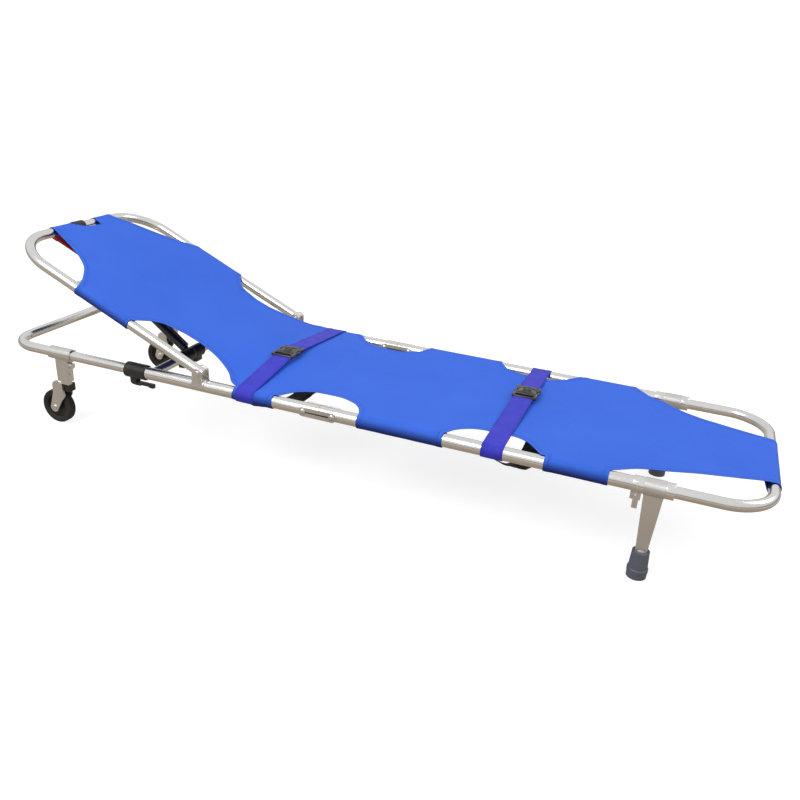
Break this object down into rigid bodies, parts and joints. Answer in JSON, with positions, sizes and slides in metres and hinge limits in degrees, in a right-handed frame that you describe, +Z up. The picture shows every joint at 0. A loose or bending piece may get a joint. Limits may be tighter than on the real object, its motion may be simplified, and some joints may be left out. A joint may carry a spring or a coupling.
{
  "type": "folding stretcher",
  "caption": "Two-fold aluminium rail stretcher with an adjustable backrest, cloth bed, buckled straps, wheels at the head and folding legs at the foot.",
  "frame": {"origin": "centre of the overall length and width, on the floor", "axes": "+X from the head towards the foot, +Y across to the far side, +Z up"},
  "size_m": [1.9804, 0.567, 0.5135],
  "materials": {
    "aluminium": "satin",
    "steel": "satin",
    "dark_metal": "satin",
    "black_plastic": "satin",
    "wheel_core": "satin",
    "tyre": "matt",
    "foot_rubber": "matt",
    "cloth": "matt",
    "webbing": "matt",
    "red_paint": "gloss"
  },
  "bodies": {
    "head_half": {"head_rail_near": "aluminium", "head_rail_far": "aluminium", "head_crossbar": "aluminium", "crossbar_clamps": "black_plastic", "backrest_brackets": "aluminium", "backrest_pivot_pins": "steel", "rail_clamps": "black_plastic", "head_cloth": "cloth", "strap_1_near": "webbing", "strap_1_far": "webbing", "buckle_1_socket": "black_plastic", "buckle_1_plug": "black_plastic"},
    "rail_lever_near": {"clamp_lever_near": "black_plastic"},
    "rail_lever_far": {"clamp_lever_far": "black_plastic"},
    "head_end": {"head_end_tube": "aluminium"},
    "wheel_arm_near": {"wheel_bracket_near": "aluminium", "wheel_axle_near": "steel", "wheel_guard_near": "black_plastic", "wheel_latch_near": "steel"},
    "wheel_arm_far": {"wheel_bracket_far": "aluminium", "wheel_axle_far": "steel", "wheel_guard_far": "black_plastic", "wheel_latch_far": "steel"},
    "wheel_near": {"tyre_near": "tyre", "wheel_hub_near": "wheel_core"},
    "wheel_far": {"tyre_far": "tyre", "wheel_hub_far": "wheel_core"},
    "backrest": {"backrest_frame": "aluminium", "backrest_end_caps": "aluminium", "backrest_brace": "aluminium", "strut_bracket": "aluminium", "lever_bracket": "aluminium", "head_clip": "black_plastic", "backrest_cloth": "cloth"},
    "release": {"release_lever": "red_paint"},
    "strut": {"strut_cylinder": "dark_metal", "strut_guide_bar": "aluminium"},
    "strut_slider": {"strut_rod": "steel"},
    "hinge_link": {"hinge_plates_near": "aluminium", "hinge_plates_far": "aluminium", "hinge_rivets": "steel"},
    "foot_half": {"foot_rail_near": "aluminium", "foot_rail_far": "aluminium", "foot_end_tube": "aluminium", "rail_collars": "aluminium", "leg_latch_blocks": "aluminium", "foot_cloth": "cloth", "strap_2_near": "webbing", "strap_2_far": "webbing", "buckle_2_socket": "black_plastic", "buckle_2_plug": "black_plastic"},
    "leg_arm_near": {"leg_near": "aluminium", "rubber_foot_near": "foot_rubber"},
    "leg_arm_far": {"leg_far": "aluminium", "rubber_foot_far": "foot_rubber"},
    "tab_near": {"leg_tab_near": "aluminium"},
    "tab_far": {"leg_tab_far": "aluminium"}
  },
  "joints": [
    {"name": "rail_lever_near_turn", "type": "hinge", "parent": "head_half", "child": "rail_lever_near", "pos_m": [-0.56725, -0.2575, 0.191], "axis": [0, 1, 0], "range_deg": [0, 20]},
    {"name": "rail_lever_far_turn", "type": "hinge", "parent": "head_half", "child": "rail_lever_far", "pos_m": [-0.56725, 0.2575, 0.191], "axis": [0, 1, 0], "range_deg": [0, 20]},
    {"name": "head_end_slide", "type": "slide", "parent": "head_half", "child": "head_end", "axis": [-1, 0, 0], "range_m": [0, 0.1]},
    {"name": "wheel_arm_near_fold", "type": "hinge", "parent": "head_end", "child": "wheel_arm_near", "pos_m": [-0.80425, -0.2575, 0.218], "axis": [1, 0, 0], "range_deg": [0, 90]},
    {"name": "wheel_arm_far_fold", "type": "hinge", "parent": "head_end", "child": "wheel_arm_far", "pos_m": [-0.80425, 0.2575, 0.218], "axis": [-1, 0, 0], "range_deg": [0, 90]},
    {"name": "wheel_near_spin", "type": "hinge", "parent": "wheel_arm_near", "child": "wheel_near", "pos_m": [-0.85125, -0.2335, 0.048], "axis": [0, 1, 0], "continuous": true},
    {"name": "wheel_far_spin", "type": "hinge", "parent": "wheel_arm_far", "child": "wheel_far", "pos_m": [-0.85125, 0.2335, 0.048], "axis": [0, 1, 0], "continuous": true},
    {"name": "backrest_tilt", "type": "hinge", "parent": "head_half", "child": "backrest", "pos_m": [-0.36925, 0, 0.253], "axis": [0, 1, 0], "range_deg": [-23.5, 31.5]},
    {"name": "release_squeeze", "type": "hinge", "parent": "backrest", "child": "release", "pos_m": [-0.77654, -0.12, 0.43228], "axis": [0.3987, 0, 0.9171], "range_deg": [-14, 0], "stiffness_Nm_per_rad": 1},
    {"name": "strut_turn", "type": "hinge", "parent": "head_half", "child": "strut", "pos_m": [-0.51525, -0.088, 0.218], "axis": [0, 1, 0], "range_deg": [-30, 40.5]},
    {"name": "strut_extend", "type": "slide", "parent": "strut", "child": "strut_slider", "axis": [-0.8121, 0, 0.5835], "range_m": [-0.046, 0.062]},
    {"name": "link_turn", "type": "hinge", "parent": "head_half", "child": "hinge_link", "pos_m": [-0.07525, 0, 0.218], "axis": [0, 1, 0], "range_deg": [0, 90]},
    {"name": "foot_fold", "type": "hinge", "parent": "hinge_link", "child": "foot_half", "pos_m": [0.00075, 0, 0.218], "axis": [0, 1, 0], "range_deg": [0, 90]},
    {"name": "leg_near_fold", "type": "hinge", "parent": "foot_half", "child": "leg_arm_near", "pos_m": [0.73875, -0.2575, 0.218], "axis": [1, 0, 0], "range_deg": [0, 84]},
    {"name": "leg_far_fold", "type": "hinge", "parent": "foot_half", "child": "leg_arm_far", "pos_m": [0.73875, 0.2575, 0.218], "axis": [-1, 0, 0], "range_deg": [0, 84]},
    {"name": "tab_near_press", "type": "hinge", "parent": "foot_half", "child": "tab_near", "pos_m": [0.70375, -0.269, 0.191], "axis": [0, 1, 0], "range_deg": [0, 20], "stiffness_Nm_per_rad": 0.05},
    {"name": "tab_far_press", "type": "hinge", "parent": "foot_half", "child": "tab_far", "pos_m": [0.70375, 0.269, 0.191], "axis": [0, 1, 0], "range_deg": [0, 20], "stiffness_Nm_per_rad": 0.05}
  ],
  "couplings": [
    {"joint": "foot_fold", "follows": "link_turn", "ratio": 1},
    {"joint": "leg_near_fold", "follows": "link_turn", "ratio": 0.9333},
    {"joint": "leg_far_fold", "follows": "link_turn", "ratio": 0.9333},
    {"joint": "wheel_arm_near_fold", "follows": "link_turn", "ratio": 1},
    {"joint": "wheel_arm_far_fold", "follows": "link_turn", "ratio": 1},
    {"joint": "strut_turn", "follows": "backrest_tilt", "ratio": 1.268},
    {"joint": "strut_extend", "follows": "backrest_tilt", "m_per_rad": 0.10938}
  ]
}
